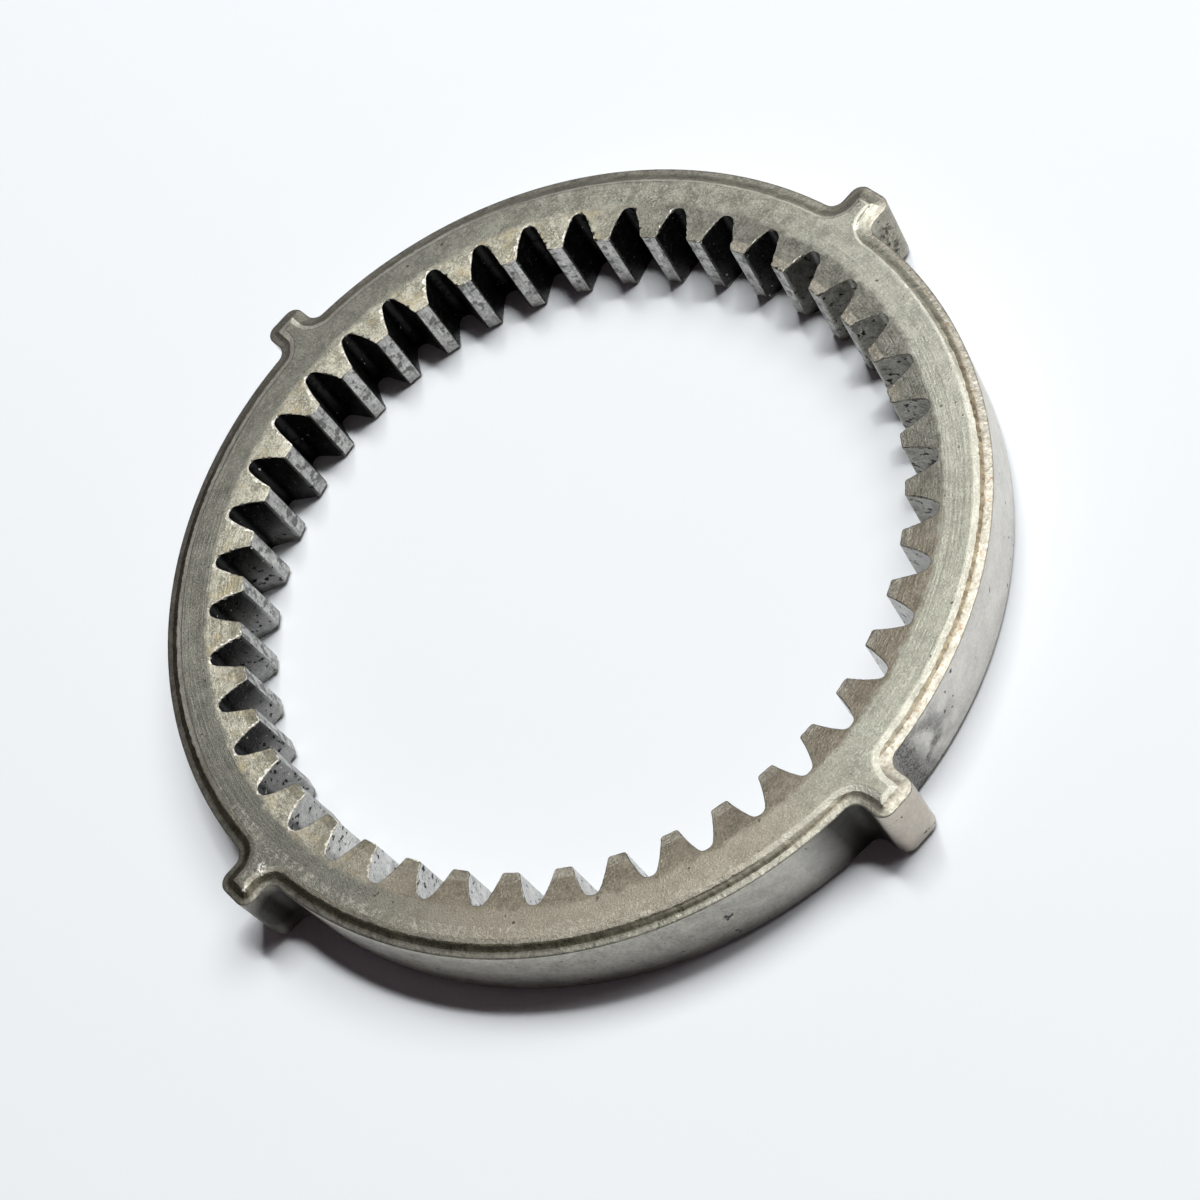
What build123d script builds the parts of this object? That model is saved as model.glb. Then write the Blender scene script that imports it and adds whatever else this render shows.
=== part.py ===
from build123d import *
from math import acos, cos, degrees, hypot, pi, radians, sin, tan
import os

# Internal ring gear of a small planetary gearbox, pressed and sintered in one piece.
# Millimetres. The origin is at the centre of the bottom face, and +Z is the gear's axis.
# A tooth space is centred on +X, where one of the four outer lugs stands.

# Teeth: an involute form, thick at the pitch circle by about half the pitch
module = 0.8
teeth = 42
pressure_angle = 20
tooth_thickness = 1.25
addendum = 0.7
dedendum = 0.9
root_fillet = 0.25
tip_chamfer = 0.1

# Ring: the rim is what lies between the tooth roots and the outer wall
ring_height = 4.2
rim_width = 2.3

# Lugs, which key the ring in its housing
lug_count = 4
lug_reach = 1.7
lug_width = 2.1
lug_root_fillet = 0.6

# Outer edges, at both ends: a narrow flat land at the wall, then a slope to the end face
land_width = 0.28
slope_width = 0.27
edge_drop = 0.15
face_corner = 0.05    # rounding of a lug's corners on the end face

# Tooth ends, on top only: a shallow taper to the axis, then a steeper facet at the tips
taper_margin = 0.2
taper_angle = 6
facet_width = 0.5
facet_angle = 14

# Derived sizes
pitch_radius = module * teeth / 2
tip_radius = pitch_radius - addendum
root_radius = pitch_radius + dedendum
outer_radius = root_radius + rim_width
lug_radius = outer_radius + lug_reach
lug_corner = face_corner + slope_width + land_width
tooth_step = 2 * pi / teeth
base_radius = pitch_radius * cos(radians(pressure_angle))
taper_radius = root_radius + taper_margin
facet_radius = tip_radius + facet_width
taper_drop = (taper_radius - facet_radius) * tan(radians(taper_angle))
facet_drop = facet_width * tan(radians(facet_angle))


def at(radius, angle):
    """The point at a radius from the axis and an angle from +X."""
    return (radius * cos(angle), radius * sin(angle))


def roll(radius):
    """The involute's pressure angle at a radius."""
    return acos(base_radius / radius)


def involute(angle):
    return tan(angle) - angle


def flank_angle(radius):
    """Half the angle across a tooth space at a radius, between its two flanks."""
    at_pitch = (tooth_step - tooth_thickness / pitch_radius) / 2
    return at_pitch + involute(radians(pressure_angle)) - involute(roll(radius))


# A root fillet's centre lies on its flank's parallel, and the parallel of an involute is the
# same involute turned about the axis by distance / base_radius.
fillet_radius = root_radius - root_fillet
fillet_angle = flank_angle(fillet_radius) - root_fillet / base_radius
flank_outer = hypot(
    fillet_radius + root_fillet * sin(roll(fillet_radius)), root_fillet * cos(roll(fillet_radius))
)
flank_inner = tip_radius + tip_chamfer
flank_radii = (flank_outer, (flank_outer + flank_inner) / 2, flank_inner)
tip_angle = flank_angle(tip_radius) + tip_chamfer / tip_radius

# One tooth space, on +X: its root, a fillet, a flank and a chamfered tip corner on each side,
# and the land of the tooth beside it. Each flank is an arc through three points of its
# involute, and strays from it by about 0.002 mm.
with BuildLine() as tooth_space:
    CenterArc((0, 0), root_radius, degrees(-fillet_angle), degrees(2 * fillet_angle))
    for side in (1, -1):
        flank = [at(radius, side * flank_angle(radius)) for radius in flank_radii]
        RadiusArc(at(root_radius, side * fillet_angle), flank[0], side * root_fillet)
        ThreePointArc(flank)
        Line(flank[-1], at(tip_radius, side * tip_angle))
    CenterArc((0, 0), tip_radius, degrees(tip_angle), degrees(tooth_step - 2 * tip_angle))

with BuildSketch() as bore_outline:
    with BuildLine():
        with PolarLocations(0, teeth):
            add(tooth_space.line)
    make_face()

# Plan of the outer wall, with the lugs
with BuildSketch() as wall_outline:
    Circle(outer_radius)
    with PolarLocations(0, lug_count):
        Rectangle(lug_radius, lug_width, align=(Align.MIN, Align.CENTER))
    fillet(wall_outline.vertices().sort_by_distance((0, 0))[: 2 * lug_count], lug_root_fillet)
    fillet(wall_outline.vertices().sort_by_distance((0, 0))[-2 * lug_count :], lug_corner)

# Plan of the raised middle, inside the land
with BuildSketch() as core_outline:
    add(wall_outline.sketch)
    offset(amount=-land_width)

with BuildPart() as ring_gear:
    # Full height inside the land, sloped at both outer edges
    add(core_outline.sketch)
    extrude(amount=ring_height)
    for end in (0, -1):
        end_face = ring_gear.faces().sort_by(Axis.Z)[end]
        chamfer(end_face.edges(), length=slope_width, length2=edge_drop, reference=end_face)

    # The outer wall, from land to land
    with BuildSketch(Plane.XY.offset(edge_drop)):
        add(wall_outline.sketch)
    extrude(amount=ring_height - 2 * edge_drop)

    # The bore with its teeth
    extrude(bore_outline.sketch, amount=ring_height, mode=Mode.SUBTRACT)

    # The tapered tooth ends, cut by a section that reaches inside the tips
    section_radius = tip_radius - facet_width
    with BuildSketch(Plane.XZ):
        with BuildLine():
            Polyline(
                (taper_radius, ring_height),
                (facet_radius, ring_height - taper_drop),
                (section_radius, ring_height - taper_drop - 2 * facet_drop),
                (section_radius, ring_height),
                close=True,
            )
        make_face()
    revolve(axis=Axis.Z, mode=Mode.SUBTRACT)

ring_gear.part.label = "ring_gear"

os.makedirs("parts", exist_ok=True)
export_step(ring_gear.part, "parts/ring_gear.step")
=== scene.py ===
import math

import bmesh
import bpy
import numpy as np
from mathutils import Matrix, Vector, geometry, noise


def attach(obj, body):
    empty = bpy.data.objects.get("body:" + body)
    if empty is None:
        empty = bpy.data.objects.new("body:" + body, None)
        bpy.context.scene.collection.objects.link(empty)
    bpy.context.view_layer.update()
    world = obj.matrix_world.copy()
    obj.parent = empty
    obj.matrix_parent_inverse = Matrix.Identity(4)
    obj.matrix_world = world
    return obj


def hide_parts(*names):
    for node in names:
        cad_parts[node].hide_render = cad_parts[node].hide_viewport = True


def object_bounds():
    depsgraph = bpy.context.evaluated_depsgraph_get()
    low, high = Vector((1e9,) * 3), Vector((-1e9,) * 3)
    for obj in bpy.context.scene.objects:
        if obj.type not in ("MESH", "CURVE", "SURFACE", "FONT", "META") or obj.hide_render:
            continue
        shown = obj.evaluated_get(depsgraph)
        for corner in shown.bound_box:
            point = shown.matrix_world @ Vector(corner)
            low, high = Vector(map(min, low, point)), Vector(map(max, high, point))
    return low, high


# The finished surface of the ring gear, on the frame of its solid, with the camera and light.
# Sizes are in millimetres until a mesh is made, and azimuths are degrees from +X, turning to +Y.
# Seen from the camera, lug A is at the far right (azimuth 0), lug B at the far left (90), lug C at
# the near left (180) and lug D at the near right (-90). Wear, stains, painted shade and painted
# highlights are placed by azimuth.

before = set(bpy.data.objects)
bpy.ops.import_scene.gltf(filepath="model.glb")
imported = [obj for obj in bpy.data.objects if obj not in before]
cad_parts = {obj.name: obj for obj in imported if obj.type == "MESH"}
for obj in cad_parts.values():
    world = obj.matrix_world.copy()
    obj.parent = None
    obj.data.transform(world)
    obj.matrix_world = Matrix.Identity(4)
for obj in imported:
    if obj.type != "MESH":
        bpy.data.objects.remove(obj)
cad_low, cad_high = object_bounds()
MM = 0.001

# The ring's own sizes
ring_height = (cad_high.z - cad_low.z) / MM
lug_radius = cad_high.x / MM
outer_radius = 20.0
root_radius = 17.7
pitch_radius = 16.8
tip_radius = 16.1
teeth = 42
pressure_angle = math.radians(20)
tooth_thickness = 1.25
root_fillet = 0.34
tip_rounding = 0.15
lug_count = 4
lug_width = 2.1
lug_corner = 0.6
lug_root_fillet = 0.6

# Tooth ends: a shallow taper inside taper_radius, then a steeper facet inside facet_radius
taper_radius = 17.9
taper_slope = math.tan(math.radians(5.5))
facet_radius = 16.6
facet_slope = math.tan(math.radians(9.5))

# Outer edges from the flat to the wall, as pairs of inset from the wall and drop from the end
# face: a margin rolled off the flat, a stained slope, a narrow land and a rounded edge
top_margin = ((0.93, 0.0), (0.89, 0.0), (0.865, 0.002), (0.84, 0.008), (0.72, 0.043), (0.60, 0.080))
top_slope = ((0.56, 0.094), (0.52, 0.109), (0.44, 0.139), (0.36, 0.164))
top_land = ((0.30, 0.177), (0.18, 0.194), (0.09, 0.206))
top_edge = ((0.020, 0.216), (0.006, 0.226), (0.0, 0.245))
bottom_profile = ((0.0, 0.26), (0.02, 0.21), (0.06, 0.18), (0.26, 0.15), (0.40, 0.09), (0.55, 0.01),
                  (0.60, 0.0))
wall_levels = (0.85, 0.65, 0.45, 0.25)
wall_columns = 140

# Flanks of the teeth: columns in plan, and levels as shares of the height
flank_columns = 29
flank_levels = (0.15, 0.35, 0.55, 0.75, 0.92)
swell = 0.006    # of the flanks and the wall, in and out

# Edges of the teeth, rounded in steps that are shares of a quarter turn
edge_rounding = 0.045
least_rounding = 0.012
most_rounding = 0.15
edge_steps = (0.0, 0.25, 0.6, 1.0)
lip_height = 0.02    # of a burr, above the end face
burr_band = 0.11

# Bottom ends of the teeth, which are rounded most at the tips
foot_edge = 0.7 * edge_rounding
foot_rounding = 0.36
foot_reach = 0.5
foot_steps = (0.0, 0.2, 0.4, 0.6, 0.8, 1.0)

tooth_step = 2 * math.pi / teeth
base_radius = pitch_radius * math.cos(pressure_angle)


def involute(angle):
    return math.tan(angle) - angle


def roll(radius):
    """The involute's pressure angle at a radius."""
    return math.acos(base_radius / radius)


def flank_angle(radius):
    """Half the angle across a tooth space at a radius."""
    at_pitch = (tooth_step - tooth_thickness / pitch_radius) / 2
    return at_pitch + involute(pressure_angle) - involute(roll(radius))


def polar(radius, angle):
    """The point of the plan at a radius and an angle in radians."""
    return np.array((radius * math.cos(angle), radius * math.sin(angle)))


def arc(centre, radius, start, end, count, into):
    """Points on an arc, and normals into the metal: into is 1 where the metal is outside it."""
    angles = np.linspace(start, end, count)
    ways = np.stack((np.cos(angles), np.sin(angles)), axis=1)
    return np.asarray(centre) + radius * ways, into * ways


def line(start, end, count, normal):
    """Points on a straight line, which all have one normal."""
    share = np.linspace(0, 1, count)[:, None]
    return np.asarray(start) * (1 - share) + np.asarray(end) * share, np.tile(normal, (count, 1))


def joined(pieces):
    """One run of points and normals from several that meet end to end."""
    points = np.concatenate([pieces[0][0]] + [piece[0][1:] for piece in pieces[1:]])
    normals = np.concatenate([pieces[0][1]] + [piece[1][1:] for piece in pieces[1:]])
    return points, normals


def repeated(half, copies):
    """A closed outline from half of one period, which starts on +X: mirrored, then turned."""
    points, normals = half
    flip = np.array((1, -1))
    points = np.concatenate((points[::-1] * flip, points[1:-1]))
    normals = np.concatenate((normals[::-1] * flip, normals[1:-1]))
    turned = []
    for copy in range(copies):
        angle = 2 * math.pi * copy / copies
        turn = np.array(((math.cos(angle), math.sin(angle)), (-math.sin(angle), math.cos(angle))))
        turned.append((points @ turn, normals @ turn))
    return np.concatenate([t[0] for t in turned]), np.concatenate([t[1] for t in turned])


def bore_outline():
    """The teeth in plan: half a space from its middle on +X to the middle of the next tooth."""
    fillet_radius = root_radius - root_fillet
    fillet_angle = flank_angle(fillet_radius) - root_fillet / base_radius
    rounding_radius = tip_radius + tip_rounding
    rounding_angle = flank_angle(rounding_radius) + tip_rounding / base_radius
    outer = math.hypot(fillet_radius + root_fillet * math.sin(roll(fillet_radius)),
                       root_fillet * math.cos(roll(fillet_radius)))
    inner = math.hypot(rounding_radius - tip_rounding * math.sin(roll(rounding_radius)),
                       tip_rounding * math.cos(roll(rounding_radius)))
    radii = np.linspace(outer, inner, flank_columns)
    flank = np.array([polar(r, flank_angle(r)) for r in radii])
    ways = np.array([flank_angle(r) - roll(r) for r in radii])
    flank_normals = np.stack((-np.sin(ways), np.cos(ways)), axis=1)
    first = math.atan2(*(flank[0] - polar(fillet_radius, fillet_angle))[::-1])
    last = math.atan2(*(flank[-1] - polar(rounding_radius, rounding_angle))[::-1])
    return joined([
        arc((0, 0), root_radius, 0, fillet_angle, 3, 1),
        arc(polar(fillet_radius, fillet_angle), root_fillet, fillet_angle, first, 5, 1),
        (flank, flank_normals),
        arc(polar(rounding_radius, rounding_angle), tip_rounding, last,
            rounding_angle - math.pi, 5, -1),
        arc((0, 0), tip_radius, rounding_angle, tooth_step / 2, 4, 1),
    ])


def wall_outline(inset):
    """The outer wall in plan, moved inwards: half a period, from the middle of a lug's end on +X."""
    half = lug_width / 2 - inset
    corner_radius = max(lug_corner - inset, 0.02)
    corner = (lug_radius - inset - corner_radius, half - corner_radius)
    reach = outer_radius + lug_root_fillet
    height = lug_width / 2 + lug_root_fillet
    root = (math.sqrt(reach ** 2 - height ** 2), height)
    start = math.asin(height / reach)
    return repeated(joined([
        line((lug_radius - inset, 0), (lug_radius - inset, corner[1]), 5, (-1.0, 0.0)),
        arc(corner, corner_radius, 0, math.pi / 2, 9, -1),
        line((corner[0], half), (root[0], half), 6, (0.0, -1.0)),
        arc(root, lug_root_fillet + inset, -math.pi / 2, start - math.pi, 9, 1),
        arc((0, 0), outer_radius - inset, start, math.pi / lug_count, wall_columns, -1),
    ]), lug_count)


def ragged(points, scale, seed, height=0.0):
    """Smooth noise from -1 to 1 at each point, the same on every run."""
    return np.array([noise.noise(Vector((x * scale, y * scale, seed + height))) for x, y in points])


def near(points, azimuth, reach):
    """1 within a third of the reach from an azimuth, fading to 0 at the reach, in degrees."""
    away = np.degrees(np.arctan2(points[:, 1], points[:, 0])) - azimuth
    away = np.abs((away + 180) % 360 - 180)
    return np.clip(1.5 - 1.5 * away / reach, 0, 1)


def end_height(points):
    """The top surface over the teeth: the flat, the taper and the facet."""
    radius = np.hypot(points[:, 0], points[:, 1])
    shallow = np.clip(taper_radius - radius, 0, taper_radius - facet_radius) * taper_slope
    steep = np.clip(facet_radius - radius, 0, None) * facet_slope
    return ring_height - shallow - steep


KINDS = ("face", "edge", "burr", "flank", "tip", "slope", "land", "wall")


class Skin:
    """The ring's surface, gathered loop by loop. A loop is a list of the numbers of its points."""

    def __init__(self):
        self.points, self.faces, self.kinds, self.creases = [], [], [], set()

    def loop(self, plan, height):
        """Adds points of the plan at one height, or at a height for each."""
        start = len(self.points)
        height = np.broadcast_to(height, len(plan))
        self.points += [(x, y, z) for (x, y), z in zip(plan, height)]
        return list(range(start, len(self.points)))

    def strip(self, first, second, kinds):
        """Quads between two loops; kinds is one kind, or one for each column."""
        count = len(first)
        for i in range(count):
            j = (i + 1) % count
            self.faces.append((first[i], first[j], second[j], second[i]))
            self.kinds.append(kinds if isinstance(kinds, str) else kinds[i])

    def strips(self, loops, kinds):
        for first, second in zip(loops, loops[1:]):
            self.strip(first, second, kinds)

    def crease(self, loop):
        """Keeps the edges along a loop sharp."""
        self.creases.update(frozenset(pair) for pair in zip(loop, loop[1:] + loop[:1]))

    def fill(self, inner, outer, kind, extra=()):
        """Triangles between two loops, through extra points of the end face's plan."""
        known = inner + outer
        if extra:
            known = known + self.loop(extra, end_height(np.asarray(extra)))
        plan = [Vector(self.points[i][:2]) for i in known]
        bounds = []
        for start, count in ((0, len(inner)), (len(inner), len(outer))):
            bounds += [(start + i, start + (i + 1) % count) for i in range(count)]
        whole_hull, tolerance = 0, 1e-7
        made = geometry.delaunay_2d_cdt(plan, bounds, [], whole_hull, tolerance, True)
        for triangle in made[2]:
            corners = [made[3][i][0] for i in triangle]
            lowest = corners.index(min(corners))
            in_order = corners[lowest - 2] < corners[lowest - 1]
            # With all corners on one loop, the order tells which side of the loop it lies on
            in_hole = max(corners) < len(inner) and in_order
            outside = min(corners) >= len(inner) and max(corners) < len(inner + outer) and not in_order
            if in_hole or outside:
                continue
            self.faces.append(tuple(known[i] for i in corners))
            self.kinds.append(kind)


def tooth_kinds(plan):
    """Which columns of the bore are tip land, and which are flank or root."""
    middle = np.hypot(*((plan + np.roll(plan, -1, axis=0)) / 2).T)
    return ["tip" if radius < tip_radius + 0.02 else "flank" for radius in middle]


def from_space(plan):
    """Angles from the middle of the nearest tooth space, counter-clockwise."""
    azimuth = np.arctan2(plan[:, 1], plan[:, 0])
    return (azimuth + tooth_step / 2) % tooth_step - tooth_step / 2


def edge_wear(plan, radius, onward):
    """How torn each column's top edge is, from 0 to 1, and whether it carries a burr. Onward marks
    the columns on the counter-clockwise side of a space, which are worn at other azimuths."""
    torn_back = np.maximum(near(plan, 138, 30), near(plan, 60, 70))
    torn = np.where(onward, near(plan, 15, 45), torn_back)
    burred = np.where(onward, near(plan, 84, 50), near(plan, 165, 40)) > 0.1
    clear_of_root = radius < root_radius - 0.15
    at_root = (radius > root_radius - 0.03) & (near(plan, 140, 45) > 0.1)
    return torn, (burred & (clear_of_root | onward)) | at_root


def worn_rounding(plan, radius, torn):
    """The rounding of each column's top edge: halved at the roots, and uneven where torn."""
    rounding = edge_rounding * np.where(radius > root_radius - 0.25, 0.5, 1.0)
    rounding = rounding + ragged(plan, 6.5, 3.0) * (0.04 + 0.17 * torn) + ragged(plan, 1.4, 7.0) * 0.02
    return np.clip(rounding, least_rounding, most_rounding)


def burr_width(plan, radius, burred, onward):
    """How far the burr, or a narrow plain strip, reaches from the top edge onto the end face."""
    band = burr_band * np.clip(0.6 + 2.4 * ragged(plan, 4.5, 51.0), 0.05, 1.4)
    band = band * np.where(burred, 1.0, 0.3) * np.where(onward, 1.0, 0.7)
    return band * np.clip((radius - tip_radius - 0.15) / 0.3, 0.02, 1)


def add_foot(skin, plan, normal, radius):
    """The rounded bottom edge of the bore; returns its loops, from the bottom face upwards."""
    outwards = plan / radius[:, None]
    by_tip = np.clip((tip_radius + foot_reach + 0.1 - radius) / foot_reach, 0, 1)
    foot = foot_rounding * by_tip * (0.4 + 0.6 * near(plan, 165, 75))
    loops = []
    for step in reversed(foot_steps):
        turn = step * math.pi / 2
        inset = ((foot_edge + 0.1 * by_tip) * (1 - math.cos(turn)))[:, None] * normal
        back = (foot * (1 - math.cos(turn)))[:, None] * outwards
        rise = (foot_edge + foot) * (1 - math.sin(turn))
        loops.append(skin.loop(plan + inset + back, rise))
    return loops


def add_flanks(skin, plan, normal):
    """Loops at the flanks' levels, which swell gently in and out."""
    top = end_height(plan)
    loops = []
    for level in flank_levels:
        out = ragged(plan, 1.1, 11.0, level * 4) * swell
        loops.append(skin.loop(plan + out[:, None] * normal, top * level))
    return loops


def add_bore(skin):
    """The toothed bore, from its bottom edge to its top edge; returns those two loops."""
    plan, normal = repeated(bore_outline(), teeth)
    radius = np.hypot(plan[:, 0], plan[:, 1])
    onward = from_space(plan) > 0
    torn, burred = edge_wear(plan, radius, onward)
    rounding = worn_rounding(plan, radius, torn)
    lip = lip_height * (burred + torn)
    foot = add_foot(skin, plan, normal, radius)
    flanks = add_flanks(skin, plan, normal)
    edge = []
    for step in edge_steps:
        turn = step * math.pi / 2
        inset = (rounding * (1 - math.cos(turn)))[:, None] * normal
        drop = rounding * (1 - math.sin(turn)) - lip * math.sin(math.pi * step)
        edge.append(skin.loop(plan + inset, end_height(plan + inset) - drop))
    beside = plan + (rounding + burr_width(plan, radius, burred, onward))[:, None] * normal
    last = skin.loop(beside, end_height(beside))
    skin.strips(foot, "edge")
    skin.strips([foot[-1]] + flanks + [edge[0]], tooth_kinds(plan))
    skin.strips(edge, ["burr" if own else "edge" for own in burred])
    skin.strip(edge[-1], last, ["burr" if own else "face" for own in burred])
    for loop in (foot[0], edge[0], edge[-1]):
        skin.crease(loop)
    return foot[0], last


def wavering(skin, plan, rows, bite):
    """Loops of the top's outer edges, inwards, from rows of inset and drop; bite is their waver."""
    loops = []
    for inset, drop in reversed(rows):
        moved, inward = wall_outline(inset)
        waver = ragged(plan, 4.0, 31.0) * bite + ragged(plan, 0.7, 37.0) * bite * 0.5
        loops.append(skin.loop(moved + waver[:, None] * inward, ring_height - drop))
    return loops


def add_wall(skin):
    """The outer edges and wall, from the bottom face to the flat; returns those two loops."""
    bottom = [skin.loop(wall_outline(inset)[0], drop) for inset, drop in reversed(bottom_profile)]
    plan, normal = wall_outline(0.0)
    low = bottom_profile[0][1]
    high = ring_height - top_edge[-1][1]
    wall = []
    for level in reversed(wall_levels):
        out = ragged(plan, 0.5, 23.0, level * 3) * swell
        wall.append(skin.loop(plan + out[:, None] * normal, low + (high - low) * level))
    edge = wavering(skin, plan, top_edge, 0.0)
    land = wavering(skin, plan, top_land, 0.03)
    slope = wavering(skin, plan, top_slope, 0.05)
    margin = wavering(skin, plan, top_margin, 0.02)
    skin.strips(bottom[:3], "face")
    skin.strips(bottom[2:4], "slope")
    skin.strips(bottom[3:], "land")
    skin.strips([bottom[-1]] + wall + [edge[0]], "wall")
    skin.strips(edge + land, "land")
    skin.strips([land[-1]] + slope, "slope")
    skin.strips([slope[-1]] + margin, "face")
    return bottom[0], margin[-1]


def circle_points(radius, spacing, keep=lambda angle: True):
    """Points of the plan round a circle, at the azimuths that keep allows."""
    count = int(2 * math.pi * radius / spacing)
    angles = [2 * math.pi * i / count for i in range(count)]
    return [tuple(polar(radius, angle)) for angle in angles if keep(angle)]


def in_tooth(radius, clearance):
    """Whether an azimuth lies inside a tooth at a radius, clear of its flanks."""
    def test(angle):
        away = abs((angle + tooth_step / 2) % tooth_step - tooth_step / 2)
        return (away - flank_angle(radius)) * radius > clearance
    return test


def add_ends(skin, bore, wall):
    """The bottom face, and the top's flat, tapered tooth ends and tip facets."""
    skin.fill(bore[0], wall[0], "face")
    extra = circle_points(taper_radius, 0.12) + circle_points(taper_radius + 0.12, 0.2)
    by_facet, by_taper = 0.2, 0.29    # clear of the flanks and their burrs
    for radius, clearance in ((facet_radius - 0.1, by_facet), (facet_radius, by_facet),
                              (facet_radius + 0.1, by_taper), (16.95, by_taper), (17.3, by_taper)):
        extra += circle_points(radius, 0.11, in_tooth(radius, clearance))
    skin.fill(bore[1], wall[1], "face", extra)


def as_mesh(skin, name, materials):
    """The skin as a mesh in metres, shaded smooth but for its creases."""
    mesh = bpy.data.meshes.new(name)
    mesh.from_pydata([tuple(c * MM for c in point) for point in skin.points], [], skin.faces)
    mesh.polygons.foreach_set("material_index", [KINDS.index(kind) for kind in skin.kinds])
    for kind in KINDS:
        mesh.materials.append(materials[kind])
    work = bmesh.new()
    work.from_mesh(mesh)
    bmesh.ops.recalc_face_normals(work, faces=work.faces)
    for edge in work.edges:
        edge.smooth = frozenset(v.index for v in edge.verts) not in skin.creases
    for face in work.faces:
        face.smooth = True
    work.to_mesh(mesh)
    work.free()
    return mesh


# Materials

class Finish:
    """One finish of the steel, built up as nodes. Places are in millimetres on the ring."""

    def __init__(self, name):
        self.material = bpy.data.materials.new(name)
        self.material.use_nodes = True
        self.tree = self.material.node_tree
        self.shader = self.tree.nodes["Principled BSDF"]
        self.shader.inputs["Metallic"].default_value = 1.0
        place = self.tree.nodes.new("ShaderNodeTexCoord").outputs["Object"]
        self.place = self.vector("SCALE", place, 1 / MM)
        parts = self.tree.nodes.new("ShaderNodeSeparateXYZ")
        self.tree.links.new(self.place, parts.inputs[0])
        self.x, self.y, self.z = parts.outputs
        across = self.maths("MULTIPLY", self.x, self.x)
        self.radius = self.maths("SQRT", self.maths("MULTIPLY_ADD", self.y, self.y, across))
        self.azimuth = self.maths("ARCTAN2", self.y, self.x)

    def vector(self, operation, value, other):
        """A vector operation on a value and a constant."""
        made = self.tree.nodes.new("ShaderNodeVectorMath")
        made.operation = operation
        self.tree.links.new(value, made.inputs[0])
        if operation == "SCALE":
            made.inputs["Scale"].default_value = other
        else:
            made.inputs[1].default_value = other
        return made.outputs["Value" if operation in ("DISTANCE", "DOT_PRODUCT") else "Vector"]

    def maths(self, operation, *values):
        """A maths operation on values, each of them a socket or a number."""
        made = self.tree.nodes.new("ShaderNodeMath")
        made.operation = operation
        for slot, value in zip(made.inputs, values):
            if isinstance(value, (int, float)):
                slot.default_value = value
            else:
                self.tree.links.new(value, slot)
        return made.outputs[0]

    def remap(self, value, low, high, to_low=0.0, to_high=1.0):
        """Runs from 0 where the value is low to 1 where it is high, and stays level beyond them."""
        made = self.tree.nodes.new("ShaderNodeMapRange")
        for name, number in (("From Min", low), ("From Max", high), ("To Min", to_low), ("To Max", to_high)):
            made.inputs[name].default_value = number
        self.tree.links.new(value, made.inputs["Value"])
        return made.outputs["Result"]

    def noise(self, scale, seed, detail=3.0, rough=0.55, of=None, swirl=0.0):
        """Noise at the places on the ring, or at those that of gives."""
        made = self.tree.nodes.new("ShaderNodeTexNoise")
        made.inputs["Scale"].default_value = scale
        made.inputs["Distortion"].default_value = swirl
        made.inputs["Detail"].default_value = detail
        made.inputs["Roughness"].default_value = rough
        moved = self.vector("ADD", of or self.place, (seed * 7.3, seed * 3.1, seed * 5.7))
        self.tree.links.new(moved, made.inputs["Vector"])
        return made.outputs["Fac"]

    def stretched(self, across, along, up):
        """Places for noise that is drawn out round the axis: scales of radius, arc and height."""
        made = self.tree.nodes.new("ShaderNodeCombineXYZ")
        self.tree.links.new(self.maths("MULTIPLY", self.radius, across), made.inputs[0])
        self.tree.links.new(self.maths("MULTIPLY", self.azimuth, along * pitch_radius), made.inputs[1])
        self.tree.links.new(self.maths("MULTIPLY", self.z, up), made.inputs[2])
        return made.outputs[0]

    def mix(self, share, first, second):
        """The first colour where the share is 0, and the second where it is 1."""
        made = self.tree.nodes.new("ShaderNodeMix")
        made.data_type = "RGBA"
        self.tree.links.new(share, made.inputs["Factor"])
        for name, value in (("A", first), ("B", second)):
            slot = [s for s in made.inputs if s.name == name and s.type == "RGBA"][0]
            if isinstance(value, tuple):
                slot.default_value = (*value, 1)
            else:
                self.tree.links.new(value, slot)
        return [s for s in made.outputs if s.type == "RGBA"][0]

    def around(self, azimuth, full, none):
        """1 within full degrees of an azimuth, fading to 0 at none degrees from it."""
        way = math.radians(azimuth)
        towards = self.maths("ADD", self.maths("MULTIPLY", self.x, math.cos(way)),
                             self.maths("MULTIPLY", self.y, math.sin(way)))
        share = self.maths("DIVIDE", towards, self.radius)
        return self.remap(share, math.cos(math.radians(none)), math.cos(math.radians(full)))

    def spot(self, centre, full, none):
        """1 within full millimetres of a place, fading to 0 at none millimetres from it."""
        return self.remap(self.vector("DISTANCE", self.place, centre), full, none, 1.0, 0.0)

    def stroke(self, start, end, full, none):
        """1 within full millimetres of the line between two places, fading to 0 at none."""
        along = Vector(end) - Vector(start)
        offset = self.vector("SUBTRACT", self.place, start)
        share = self.maths("DIVIDE", self.vector("DOT_PRODUCT", offset, along), along.length_squared)
        share = self.remap(share, 0.0, 1.0)
        nearest = self.tree.nodes.new("ShaderNodeVectorMath")
        nearest.operation = "SCALE"
        nearest.inputs[0].default_value = along
        self.tree.links.new(share, nearest.inputs["Scale"])
        away = self.tree.nodes.new("ShaderNodeVectorMath")
        away.operation = "DISTANCE"
        self.tree.links.new(offset, away.inputs[0])
        self.tree.links.new(nearest.outputs["Vector"], away.inputs[1])
        return self.remap(away.outputs["Value"], full, none, 1.0, 0.0)

    def both(self, first, second):
        """A share that is 1 only where two shares are."""
        return self.maths("MULTIPLY", first, second)

    def wash(self, under, tint, share, strength):
        """Lays a tint over a colour, by a share from 0 to 1 and at most by the strength."""
        return self.mix(self.maths("MULTIPLY", share, strength), under, tint)

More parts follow.
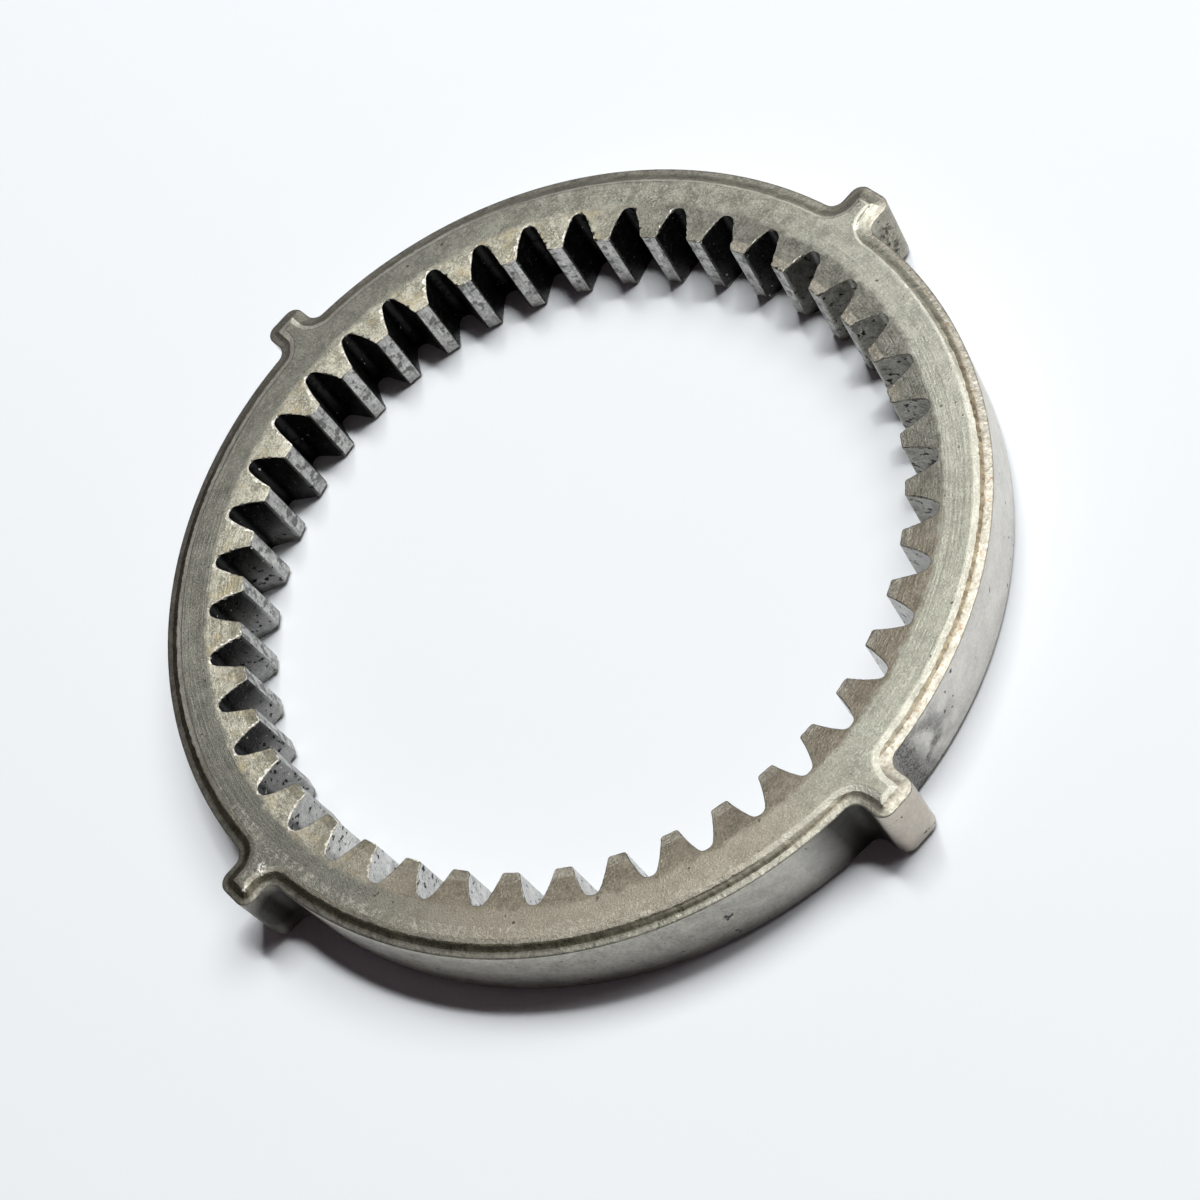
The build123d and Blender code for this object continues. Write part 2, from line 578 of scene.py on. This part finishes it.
    def mottled(self, pale, dark, cloud=0.7, fleck=7.0, seed=0.0, contrast=0.14):
        """Two tones in soft clouds with fine flecks."""
        soft = self.noise(cloud, seed, 4.0, 0.6)
        fine = self.noise(fleck, seed + 1, 3.0, 0.65)
        tone = self.maths("ADD", self.maths("MULTIPLY", soft, 0.45), self.maths("MULTIPLY", fine, 0.55))
        return self.mix(self.remap(tone, 0.5 - contrast, 0.5 + contrast), dark, pale)

    def finished(self, colour, height, depth, roughness):
        """Joins colour, relief (its depth in mm) and roughness to the shader."""
        self.tree.links.new(colour, self.shader.inputs["Base Color"])
        varied = self.remap(self.noise(2.2, 25.0), 0.3, 0.7, roughness - 0.05, roughness + 0.05)
        self.tree.links.new(varied, self.shader.inputs["Roughness"])
        bump = self.tree.nodes.new("ShaderNodeBump")
        bump.inputs["Strength"].default_value = 1.0
        bump.inputs["Distance"].default_value = depth * MM
        self.tree.links.new(height, bump.inputs["Height"])
        self.tree.links.new(bump.outputs["Normal"], self.shader.inputs["Normal"])
        return self.material


def flat_colour(look):
    """Sandy olive steel with turning lines and specks, with a painted highlight at the right and painted
    shade at the far left and the near left.
    """
    colour = look.mottled((0.43, 0.435, 0.365), (0.215, 0.215, 0.18),
                          cloud=1.1, fleck=11.0, seed=1.0, contrast=0.08)
    fleck = look.remap(look.noise(7.0, 48.0, 2.0, 0.6), 0.59, 0.66)
    colour = look.wash(colour, (0.60, 0.60, 0.52), fleck, 0.55)
    polished = look.around(-68, 8, 40)
    colour = look.wash(colour, (0.44, 0.45, 0.37), polished, 0.5)
    # A painted highlight: paler at the right, where the light's reflection falls
    bright = look.around(-20, 14, 30)
    colour = look.wash(colour, (0.58, 0.59, 0.52), bright, 0.30)
    # Painted shade: darker at the far left, away from the light's reflection
    colour = look.wash(colour, (0.17, 0.17, 0.15), look.around(130, 60, 90), 0.42)
    # Painted shade: darker at the near left, away from the light's reflection
    painted_shade_left = look.around(-170, 18, 44)
    colour = look.wash(colour, (0.13, 0.13, 0.115), painted_shade_left, 0.40)
    warm = look.around(-126, 18, 40)
    colour = look.wash(colour, (0.34, 0.305, 0.24), warm, 0.70)
    lines = look.noise(1.0, 2.0, 3.0, 0.6, look.stretched(9.0, 0.25, 1.0))
    turned = look.maths("ADD", look.around(-30, 30, 75), look.around(146, 25, 50))
    line_share = look.both(look.remap(lines, 0.5, 0.72), look.maths("MULTIPLY", turned, 0.30))
    colour = look.mix(line_share, colour, (0.15, 0.15, 0.13))
    swirls = look.noise(3.4, 40.0, 2.0, 0.6, swirl=2.2)
    combed = look.both(look.remap(swirls, 0.52, 0.66), look.around(62, 35, 60))
    colour = look.wash(colour, (0.13, 0.13, 0.11), combed, 0.40)
    speck = look.remap(look.noise(3.1, 4.0, 1.0), 0.74, 0.78)
    return look.wash(colour, (0.05, 0.05, 0.045), speck, 0.8), lines, turned


def tooth_end_colour(look):
    """Tooth ends: cream and stained on the far side, with painted shade at the near right and the far right,
    where the ends slope away from the light.
    """
    colour = look.mottled((0.58, 0.565, 0.47), (0.24, 0.235, 0.185),
                          cloud=1.5, fleck=10.0, seed=6.0, contrast=0.08)
    yellow = look.remap(look.noise(1.1, 7.0, 4.0), 0.53, 0.64)
    colour = look.wash(colour, (0.48, 0.41, 0.25), yellow, 0.55)
    # Painted shade: browner and darker at the near right, where the ends slope away from the light
    shaded_brown = look.mottled((0.32, 0.292, 0.23), (0.18, 0.163, 0.125),
                         cloud=1.5, fleck=9.0, seed=33.0, contrast=0.12)
    colour = look.mix(look.around(-98, 55, 85), colour, shaded_brown)
    # Painted shade: olive and darker at the far right, where the ends slope away from the light
    olive = look.mottled((0.29, 0.29, 0.25), (0.125, 0.125, 0.105),
                         cloud=1.5, fleck=9.0, seed=34.0, contrast=0.1)
    colour = look.mix(look.around(-8, 34, 52), colour, olive)
    facet = look.remap(look.radius, facet_radius + 0.06, facet_radius - 0.06)
    worn = look.mottled((0.50, 0.475, 0.40), (0.24, 0.225, 0.18),
                        cloud=2.0, fleck=9.0, seed=41.0, contrast=0.1)
    colour = look.mix(look.both(facet, look.around(-108, 46, 66)), colour, worn)
    colour = look.mix(look.both(facet, look.around(-8, 22, 34)), colour, worn)
    stained = look.mottled((0.30, 0.285, 0.22), (0.12, 0.11, 0.08),
                           cloud=2.0, fleck=7.0, seed=42.0, contrast=0.1)
    shade = look.both(facet, look.around(-192, 24, 52))
    return look.wash(colour, stained, shade, 0.85)


def margin_colour(look, colour):
    """The flat's rolled-off margin, polished paler than the flat, ragged on its inner side."""
    near_left = look.around(-150, 38, 56)
    # The depth below the flat, less a ragged allowance
    torn = look.maths("MULTIPLY", look.noise(5.0, 43.0, 4.0, 0.7), 0.03)
    start = look.maths("MULTIPLY_ADD", near_left, 0.012, ring_height + 0.003)
    depth = look.maths("SUBTRACT", start, look.maths("ADD", look.z, torn))
    margin = look.both(look.remap(depth, 0.0, 0.006), look.remap(look.radius, 18.6, 18.7))
    bright = look.mottled((0.76, 0.75, 0.66), (0.48, 0.47, 0.40),
                          cloud=1.5, fleck=9.0, seed=44.0, contrast=0.1)
    share = look.maths("ADD", look.maths("MULTIPLY", look.around(140, 70, 95), 0.25), 0.70)
    colour = look.mix(look.both(margin, share), colour, bright)
    lower = look.remap(look.z, ring_height - 0.046, ring_height - 0.052)
    under = look.both(lower, look.around(14, 36, 48))
    olive = look.mottled((0.34, 0.33, 0.27), (0.18, 0.175, 0.14), cloud=1.5, fleck=9.0, seed=52.0)
    colour = look.mix(look.both(margin, under), colour, olive)
    dull = look.mottled((0.47, 0.445, 0.365), (0.25, 0.235, 0.193),
                        cloud=1.2, fleck=9.0, seed=53.0, contrast=0.1)
    colour = look.mix(look.both(margin, look.maths("MULTIPLY", near_left, 0.95)), colour, dull)
    stained = look.remap(depth, 0.064, 0.074)
    stain = look.mottled((0.16, 0.15, 0.11), (0.05, 0.045, 0.032),
                         cloud=1.2, fleck=9.0, seed=57.0)
    return look.mix(look.both(look.both(margin, stained), near_left), colour, stain)


def scarred_lugs(look, colour):
    """The glare along the battered end of lug A, and the white flakes on lug C."""
    glare = look.stroke((19.65, -0.66, 4.2), (21.08, -0.42, 4.2), 0.05, 0.13)
    along_end = look.stroke((21.08, -0.42, 4.2), (21.2, -1.05, 4.15), 0.04, 0.11)
    along_root = look.stroke((19.7, -0.72, 4.2), (20.25, -0.85, 4.2), 0.04, 0.11)
    for more in (along_end, along_root):
        glare = look.maths("MAXIMUM", glare, more)
    ragged_share = look.remap(look.noise(5.0, 45.0, 3.0, 0.65), 0.38, 0.50)
    colour = look.mix(look.both(glare, ragged_share), colour, (0.98, 0.96, 0.86))
    flakes = look.stroke((-19.80, -0.30, 4.2), (-20.30, -0.75, 4.2), 0.12, 0.30)
    for place in ((-21.03, -0.45, 4.2), (-20.73, -1.00, 4.18)):
        flakes = look.maths("MAXIMUM", flakes, look.spot(place, 0.12, 0.34))
    broken = look.remap(look.noise(6.5, 58.0, 3.0, 0.7), 0.50, 0.55)
    return look.mix(look.both(flakes, broken), colour, (0.97, 0.96, 0.92))


def face_finish():
    """The end face: the flat, which gives way raggedly to the stained tooth ends."""
    look = Finish("ring_face")
    flat, lines, turned = flat_colour(look)
    edge = look.maths("ADD", look.radius, look.maths("MULTIPLY", look.noise(1.6, 35.0, 4.0, 0.65), 0.9))
    share = look.remap(edge, taper_radius + 0.26, taper_radius + 0.52)
    colour = look.mix(share, tooth_end_colour(look), flat)
    marks = look.noise(1.0, 8.0, 3.0, 0.6, look.stretched(7.0, 1.2, 1.0))
    scored = look.both(look.remap(marks, 0.54, 0.72), look.remap(look.radius, 17.95, 17.75))
    colour = look.wash(colour, (0.10, 0.095, 0.07), scored, 0.35)
    colour = scarred_lugs(look, margin_colour(look, colour))
    grain = look.noise(10.0, 3.0, 4.0, 0.75)
    height = look.maths("ADD", grain, look.both(lines, look.maths("MULTIPLY", turned, 0.7)))
    return look.finished(colour, height, 0.034, 0.49)


def edge_finish(name, pale, dark, roughness):
    """The broken edges of the teeth."""
    look = Finish(name)
    colour = look.mottled(pale, dark, cloud=3.0, fleck=9.0, seed=10.0, contrast=0.08)
    return look.finished(colour, look.noise(10.0, 11.0, 3.0, 0.65), 0.020, roughness)


def flank_finish():
    """Flanks and roots: nearly black, with pits and a few bright flakes, and painted shade in the roots at
    the far left.
    """
    look = Finish("ring_flank")
    colour = look.mottled((0.075, 0.075, 0.07), (0.012, 0.012, 0.011), cloud=1.0, seed=12.0)
    cleaner = look.around(-125, 52, 74)
    middling = look.mottled((0.36, 0.35, 0.31), (0.15, 0.145, 0.125),
                            cloud=1.3, fleck=6.0, seed=50.0, contrast=0.11)
    colour = look.mix(look.around(-30, 26, 37), colour, middling)
    foot = look.both(look.remap(look.z, 3.2, 0.3, 0.0, 0.6), look.around(-198, 34, 56))
    grey = look.mottled((0.74, 0.73, 0.70), (0.38, 0.375, 0.36), cloud=1.4, seed=36.0)
    colour = look.mix(look.maths("MAXIMUM", cleaner, foot), colour, grey)
    # Painted shade: the roots at the far left darkened to near black
    roots = look.both(look.remap(look.radius, 17.25, 17.50), look.around(95, 80, 105))
    colour = look.wash(colour, (0.010, 0.010, 0.009), roots, 0.9)
    hole = look.remap(look.noise(3.0, 13.0, 3.0), 0.605, 0.65)
    colour = look.mix(hole, colour, (0.008, 0.008, 0.008))
    flake = look.remap(look.noise(4.5, 14.0, 1.0), 0.74, 0.76)
    colour = look.mix(flake, colour, (0.55, 0.55, 0.50))
    height = look.maths("SUBTRACT", look.noise(8.0, 15.0, 3.0, 0.65), look.maths("MULTIPLY", hole, 3.0))
    return look.finished(colour, height, 0.016, 0.36)


def tip_finish():
    """The tooth tips' lands: streaked along the axis, with dark blotches."""
    look = Finish("ring_tip")
    colour = look.mottled((0.64, 0.63, 0.60), (0.27, 0.265, 0.255), cloud=2.2, seed=16.0, contrast=0.12)
    streak = look.noise(1.0, 37.0, 2.0, 0.5, look.stretched(3.0, 6.0, 0.6))
    colour = look.mix(look.remap(streak, 0.50, 0.72, 0.0, 0.6), colour, (0.14, 0.14, 0.13))
    blotch = look.both(look.remap(look.noise(2.4, 17.0, 3.0), 0.53, 0.59), look.remap(look.z, 0.4, 1.0))
    colour = look.wash(colour, (0.07, 0.07, 0.065), blotch, 0.75)
    return look.finished(colour, look.noise(6.0, 18.0, 3.0, 0.7), 0.022, 0.44)


def slope_finish():
    """The slope under the flat's margin: stained dark, with painted light at the near right: a paler tan
    where the light falls, and painted glare along its top there and beside lug D.
    """
    look = Finish("ring_slope")
    colour = look.mottled((0.14, 0.13, 0.095), (0.045, 0.040, 0.028), cloud=1.2, seed=19.0)
    olive = look.mottled((0.38, 0.38, 0.31), (0.20, 0.20, 0.165), cloud=1.2, seed=20.0)
    colour = look.mix(look.around(42, 45, 75), colour, olive)
    # Painted light: paler tan at the near right, where the slope faces the light
    near_right = look.around(-62, 26, 42)
    tan = look.mottled((0.235, 0.20, 0.14), (0.10, 0.08, 0.053), cloud=2.5, seed=21.0, contrast=0.1)
    colour = look.mix(near_right, colour, tan)
    cream = look.mottled((0.37, 0.35, 0.295), (0.19, 0.172, 0.137),
                         cloud=2.5, fleck=6.0, seed=24.0, contrast=0.12)
    reach = look.maths("ADD", look.radius, look.maths("MULTIPLY", look.noise(3.5, 49.0, 4.0, 0.7), 0.22))
    colour = look.mix(look.both(near_right, look.remap(reach, 19.72, 19.75)), colour, cream)
    # A painted glare: a pale band along the top of the slope at the near right
    inner = look.both(near_right, look.remap(look.z, ring_height - 0.098, ring_height - 0.090))
    colour = look.mix(inner, colour, (0.74, 0.73, 0.64))
    # A painted glare: paler on the slope's higher part beside lug D
    painted_glare_top = look.both(look.around(-102, 12, 30), look.remap(look.radius, 19.60, 19.50))
    colour = look.mix(painted_glare_top, colour, (0.24, 0.23, 0.185))
    return look.finished(colour, look.noise(8.0, 22.0, 3.0, 0.65), 0.016, 0.50)


def land_finish():
    """The narrow outer land: olive-grey, worn to granular cream at the near right."""
    look = Finish("ring_land")
    colour = look.mottled((0.36, 0.355, 0.30), (0.17, 0.165, 0.135), cloud=1.5, seed=23.0)
    olive = look.mottled((0.46, 0.455, 0.385), (0.20, 0.195, 0.165), cloud=1.5, seed=46.0)
    colour = look.mix(look.around(42, 40, 62), colour, olive)
    cream = look.mottled((0.385, 0.37, 0.318), (0.20, 0.185, 0.15),
                         cloud=2.5, fleck=6.0, seed=24.0, contrast=0.13)
    colour = look.mix(look.around(-42, 38, 54), colour, cream)
    inner = look.both(look.around(-155, 36, 52), look.remap(look.z, ring_height - 0.192, ring_height - 0.186))
    colour = look.wash(colour, (0.10, 0.094, 0.07), inner, 0.4)
    rust = look.both(look.around(-52, 26, 44), look.remap(look.noise(1.9, 26.0), 0.61, 0.66))
    colour = look.wash(colour, (0.24, 0.17, 0.10), rust, 0.8)
    return look.finished(colour, look.noise(6.0, 27.0, 3.0, 0.7), 0.024, 0.46)


def wall_finish():
    """The outer wall: even grey with specks, and smudges and pits beside lugs D and A; painted shade at the
    near left, darker towards the bottom there, a painted shadow of lug D beside it and painted shade beside
    lug C.
    """
    look = Finish("ring_wall")
    colour = look.mottled((0.74, 0.71, 0.655), (0.55, 0.53, 0.49), cloud=0.8, fleck=7.0, seed=28.0)
    # Painted shade: darker at the near left, a painted reflection of the floor's shadow
    dull = look.mottled((0.50, 0.48, 0.425), (0.27, 0.26, 0.228), cloud=1.2, fleck=7.0, seed=38.0)
    colour = look.mix(look.around(-163, 50, 74), colour, dull)
    # Painted shade: darker towards the bottom at the near left, a painted reflection of the floor's shadow
    below = look.both(look.remap(look.z, 2.2, 0.3, 0.0, 0.5), look.around(-128, 28, 42))
    colour = look.mix(below, colour, (0.16, 0.15, 0.14))
    near_end = look.remap(look.y, -21.2, -21.45)
    warm = look.mottled((0.60, 0.54, 0.46), (0.47, 0.422, 0.36),
                        cloud=1.0, fleck=5.0, seed=54.0)
    colour = look.mix(near_end, colour, warm)
    side = look.both(look.spot((21.0, -1.05, 2.2), 1.6, 2.4), look.remap(look.y, -1.35, -1.15))
    tan = look.mottled((0.46, 0.44, 0.36), (0.22, 0.205, 0.165), cloud=1.6, fleck=7.0, seed=47.0)
    colour = look.mix(side, colour, tan)
    speck = look.remap(look.noise(2.3, 29.0, 2.0), 0.69, 0.73)
    colour = look.mix(speck, colour, (0.06, 0.06, 0.06))
    smudge = look.noise(1.0, 56.0, 3.0, 0.5)
    grain = look.remap(look.noise(9.0, 55.0, 2.0, 0.6), 0.35, 0.65, 0.6, 1.0)
    beside_near = look.both(look.spot((2.2, -19.9, 2.0), 1.0, 3.4), look.remap(smudge, 0.40, 0.60))
    at_root = look.stroke((1.7, -19.8, 3.8), (1.8, -19.9, 0.4), 0.35, 1.25)
    grime_and_shadow = look.maths("MAXIMUM", beside_near, at_root)
    # A painted shadow: lug D's shadow on the wall to its left
    painted_lug_shadow = look.stroke((-1.6, -20.0, 3.8), (-1.4, -20.2, 0.6), 0.9, 3.0)
    grime_and_shadow = look.maths("MAXIMUM", look.both(grime_and_shadow, grain), painted_lug_shadow)
    grime_and_shadow = look.both(grime_and_shadow, look.remap(look.y, -21.3, -21.0))
    # Painted shade: the dark hollow beside lug C, on its near side
    pocket = look.spot((-20.6, -1.8, 2.2), 1.3, 2.6)
    grime_and_shadow = look.maths("MAXIMUM", grime_and_shadow, pocket)
    pitted = look.remap(look.noise(2.6, 31.0, 4.0, 0.7), 0.44, 0.56)
    lug_side = look.both(look.stroke((20.66, -1.05, 2.84), (20.87, -1.05, 1.15), 0.15, 0.55), pitted)
    grime_and_shadow = look.maths("MAXIMUM", grime_and_shadow, lug_side)
    # Smudges, pits and the painted shadow and shade are darkened together here
    colour = look.wash(colour, (0.022, 0.020, 0.017), grime_and_shadow, 0.94)
    return look.finished(colour, look.noise(8.0, 32.0, 3.0, 0.6), 0.010, 0.42)


def ring_materials():
    return {
        "face": face_finish(),
        "edge": edge_finish("ring_edge", (0.44, 0.43, 0.37), (0.12, 0.115, 0.10), 0.42),
        # The burr's near-white tone is a painted glint along the teeth's top edges
        "burr": edge_finish("ring_burr_glint", (1.0, 0.98, 0.90), (0.40, 0.38, 0.31), 0.62),
        "flank": flank_finish(),
        "tip": tip_finish(),
        "slope": slope_finish(),
        "land": land_finish(),
        "wall": wall_finish(),
    }


def ring_piece():
    skin = Skin()
    bore = add_bore(skin)
    wall = add_wall(skin)
    add_ends(skin, bore, wall)
    piece = bpy.data.objects.new("ring_gear_skin", as_mesh(skin, "ring_gear_skin", ring_materials()))
    bpy.context.scene.collection.objects.link(piece)
    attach(piece, "root")
    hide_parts("ring_gear")


# Floor, light and camera

def add_floor():
    """A sheet of plain paper under the ring. Its half width is in metres."""
    paper = (0.845, 0.886, 0.920)
    half = 4.0
    sunk = 0.02 * MM
    mesh = bpy.data.meshes.new("floor")
    corners = [(x, y, -sunk) for x, y in ((-half, -half), (half, -half), (half, half), (-half, half))]
    mesh.from_pydata(corners, [], [(0, 1, 2, 3)])
    material = bpy.data.materials.new("paper")
    material.use_nodes = True
    shader = material.node_tree.nodes["Principled BSDF"]
    shader.inputs["Base Color"].default_value = (*paper, 1)
    shader.inputs["Roughness"].default_value = 0.9
    shader.inputs["Specular IOR Level"].default_value = 0.2
    mesh.materials.append(material)
    floor = bpy.data.objects.new("floor", mesh)
    bpy.context.scene.collection.objects.link(floor)


def add_panel(name, height, lean, size, level):
    """A level, round panel of light, facing down. Height and size are in metres. Its lean is its
    offset in plan for each metre of height, and its level the light that it gives the paper."""
    panel = bpy.data.lights.new(name, "AREA")
    panel.shape = "ELLIPSE"
    panel.size, panel.size_y = size
    spread = (1 + lean[0] ** 2 + lean[1] ** 2) ** 2
    panel.energy = level * math.pi * height ** 2 * spread
    panel.color = (1.0, 0.995, 0.985)
    lamp = bpy.data.objects.new(name, panel)
    lamp.location = (lean[0] * height, lean[1] * height, height)
    bpy.context.scene.collection.objects.link(lamp)


def add_light():
    """A bow of small panels for the sharp shadows, a broad panel, and hardly any surround."""
    middle, radius, lamps, height = (0.54, 0.19), 0.32, 7, 0.44
    start, sweep = 241, 106
    brightest, fall = 0.49, 0.35
    small = (0.036, 0.036)
    for lamp in range(lamps):
        along = (lamp + 0.5) / lamps
        way = math.radians(start - sweep * along)
        lean = (middle[0] + radius * math.cos(way), middle[1] + radius * math.sin(way))
        add_panel(f"bow_{lamp + 1}", height, lean, small, brightest - fall * along)
    add_panel("broad", 1.5, (0.68, -0.08), (1.05, 0.90), 1.0)
    add_surround()


def add_surround():
    """A faint pink surround, which is less faint near the horizon."""
    world = bpy.data.worlds.new("surround")
    world.use_nodes = True
    bpy.context.scene.world = world
    tree = world.node_tree
    place = tree.nodes.new("ShaderNodeTexCoord")
    parts = tree.nodes.new("ShaderNodeSeparateXYZ")
    tree.links.new(place.outputs["Generated"], parts.inputs[0])
    rise = tree.nodes.new("ShaderNodeMapRange")
    for name, number in (("From Min", 0.05), ("From Max", 0.40), ("To Min", 0.18), ("To Max", 0.035)):
        rise.inputs[name].default_value = number
    tree.links.new(parts.outputs["Z"], rise.inputs["Value"])
    tree.nodes["Background"].inputs["Color"].default_value = (1.0, 0.74, 0.84, 1)
    tree.links.new(rise.outputs["Result"], tree.nodes["Background"].inputs["Strength"])


def add_camera():
    """The photograph's camera: where it stands, the point that it looks at, and its roll."""
    stand = Vector((-13.32, -71.38, 101.71)) * MM
    aim = Vector((-1.084, -4.092, 4.2)) * MM
    roll_angle = math.radians(39.234)
    data = bpy.data.cameras.new("camera")
    data.sensor_width = 36.0
    data.lens = 80.88
    data.clip_start = 0.005
    data.clip_end = 20.0
    camera = bpy.data.objects.new("camera", data)
    back = (stand - aim).normalized()
    right = Vector((0, 0, 1)).cross(back).normalized()
    upright = back.cross(right)
    up = upright * math.cos(roll_angle) + right * math.sin(roll_angle)
    side = up.cross(back)
    turn = Matrix((side, up, back)).transposed().to_4x4()
    camera.matrix_world = Matrix.Translation(stand) @ turn
    bpy.context.scene.collection.objects.link(camera)
    bpy.context.scene.camera = camera


add_camera()
ring_piece()
add_floor()
add_light()
bpy.context.scene.view_settings.view_transform = "Standard"
